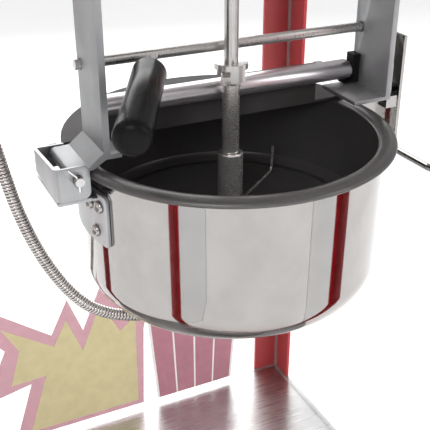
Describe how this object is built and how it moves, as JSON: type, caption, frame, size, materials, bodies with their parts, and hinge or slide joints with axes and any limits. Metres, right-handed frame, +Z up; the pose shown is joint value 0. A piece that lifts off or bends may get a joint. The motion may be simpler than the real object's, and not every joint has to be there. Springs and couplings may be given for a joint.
{
  "type": "popcorn maker",
  "caption": "Countertop popcorn machine: glazed cabinet with red hood, tipping kettle on a hanger, powered agitator, conduit, lid, lever, doors and crumb drawer.",
  "frame": {"origin": "on the table, under the middle of the box round the whole machine with its doors open", "axes": "+Z up, -Y towards the operator, +X to the operator's right"},
  "size_m": [0.6282, 0.6176, 0.8],
  "materials": {
    "red_paint": "glossy powder coat",
    "mirror_steel": "polished stainless",
    "brushed_steel": "brushed stainless",
    "chrome": "polished chrome",
    "aluminium": "mill finish",
    "non_stick": "satin non-stick coating",
    "black_plastic": "moulded",
    "black_rubber": "moulded",
    "clear_glass": "clear",
    "clear_acrylic": "clear acrylic",
    "white_panel": "printed panel",
    "lamp_glass": "frosted",
    "dark_steel": "dark coated steel"
  },
  "bodies": {
    "cabinet": {"base_body": "red_paint", "post_front_left": "red_paint", "post_front_right": "red_paint", "post_rear_left": "red_paint", "post_rear_right": "red_paint", "canopy": "red_paint", "floor_plate": "brushed_steel", "ceiling_plate": "brushed_steel", "ceiling_gland": "brushed_steel", "hinge_pin": "brushed_steel", "conduit": "brushed_steel", "cross_bar": "chrome", "lid_hinge_rod": "chrome", "door_left_hinge_rod": "chrome", "door_right_hinge_rod": "chrome", "split_pin": "chrome", "hanger_left": "aluminium", "hanger_right": "aluminium", "power_inlet": "black_plastic", "bar_bracket": "black_plastic", "foot_front_left": "black_rubber", "foot_front_right": "black_rubber", "foot_rear_left": "black_rubber", "foot_rear_right": "black_rubber", "rear_glass": "clear_glass", "left_glass": "clear_glass", "right_glass": "clear_glass", "front_panel": "white_panel", "heat_lamp": "lamp_glass", "gear_motor": "dark_steel"},
    "drawer": {"crumb_drawer": "brushed_steel", "drawer_front": "red_paint"},
    "door_left": {"door_left": "clear_acrylic", "door_left_knob": "black_plastic"},
    "door_right": {"door_right": "clear_acrylic", "door_right_knob": "black_plastic"},
    "switch_1": {"rocker_1": "black_plastic"},
    "switch_2": {"rocker_2": "black_plastic"},
    "switch_3": {"rocker_3": "black_plastic"},
    "drive": {"drive_shaft": "brushed_steel"},
    "lid": {"rear_lid": "non_stick"},
    "lever": {"lever_shaft": "brushed_steel", "lever_grip": "black_plastic"},
    "agitator": {"agitator_shaft": "brushed_steel", "agitator_sleeve": "brushed_steel", "stir_wire_long": "brushed_steel", "stir_wire_short": "brushed_steel"},
    "kettle": {"kettle_pan": "non_stick", "kettle_shell": "mirror_steel", "kettle_base_cover": "brushed_steel", "heating_element": "dark_steel", "thermostat": "black_plastic", "kettle_gland": "brushed_steel", "hinge_clevis": "aluminium", "hinge_strap": "aluminium", "hinge_rivet_1": "chrome", "hinge_rivet_2": "chrome", "hinge_rivet_3": "chrome", "latch_strap": "mirror_steel", "tip_handle_grip": "black_plastic"}
  },
  "joints": [
    {"name": "kettle_tip", "type": "hinge", "parent": "cabinet", "child": "kettle", "pos_m": [-0.0482, 0.10478, 0.501], "axis": [0, 1, 0], "range_deg": [0, 85], "deforming": ["conduit"]},
    {"name": "drive_spin", "type": "hinge", "parent": "cabinet", "child": "drive", "pos_m": [0.075, 0.10478, 0.6], "axis": [0, 0, 1], "continuous": true},
    {"name": "agitator_spin", "type": "hinge", "parent": "kettle", "child": "agitator", "pos_m": [0.075, 0.10478, 0.5], "axis": [0, 0, 1], "continuous": true},
    {"name": "lid_swing", "type": "hinge", "parent": "cabinet", "child": "lid", "pos_m": [0.075, 0.13078, 0.53], "axis": [1, 0, 0], "range_deg": [0, 75]},
    {"name": "lever_lift", "type": "hinge", "parent": "cabinet", "child": "lever", "pos_m": [0.075, 0.11578, 0.562], "axis": [-1, 0, 0], "range_deg": [0, 35]},
    {"name": "door_left_swing", "type": "hinge", "parent": "cabinet", "child": "door_left", "pos_m": [-0.234, -0.08422, 0.5], "axis": [0, 0, 1], "range_deg": [0, 107.5]},
    {"name": "door_right_swing", "type": "hinge", "parent": "cabinet", "child": "door_right", "pos_m": [0.234, -0.08422, 0.5], "axis": [0, 0, -1], "range_deg": [0, 107.5]},
    {"name": "drawer_pull", "type": "slide", "parent": "cabinet", "child": "drawer", "axis": [0, -1, 0], "range_m": [0, 0.15]},
    {"name": "switch_1_rock", "type": "hinge", "parent": "cabinet", "child": "switch_1", "pos_m": [0.147, -0.09022, 0.755], "axis": [1, 0, 0], "range_deg": [0, 20]},
    {"name": "switch_2_rock", "type": "hinge", "parent": "cabinet", "child": "switch_2", "pos_m": [0.177, -0.09022, 0.755], "axis": [1, 0, 0], "range_deg": [0, 20]},
    {"name": "switch_3_rock", "type": "hinge", "parent": "cabinet", "child": "switch_3", "pos_m": [0.207, -0.09022, 0.755], "axis": [1, 0, 0], "range_deg": [0, 20]}
  ],
  "couplings": [
    {"joint": "agitator_spin", "follows": "drive_spin", "ratio": 1}
  ]
}
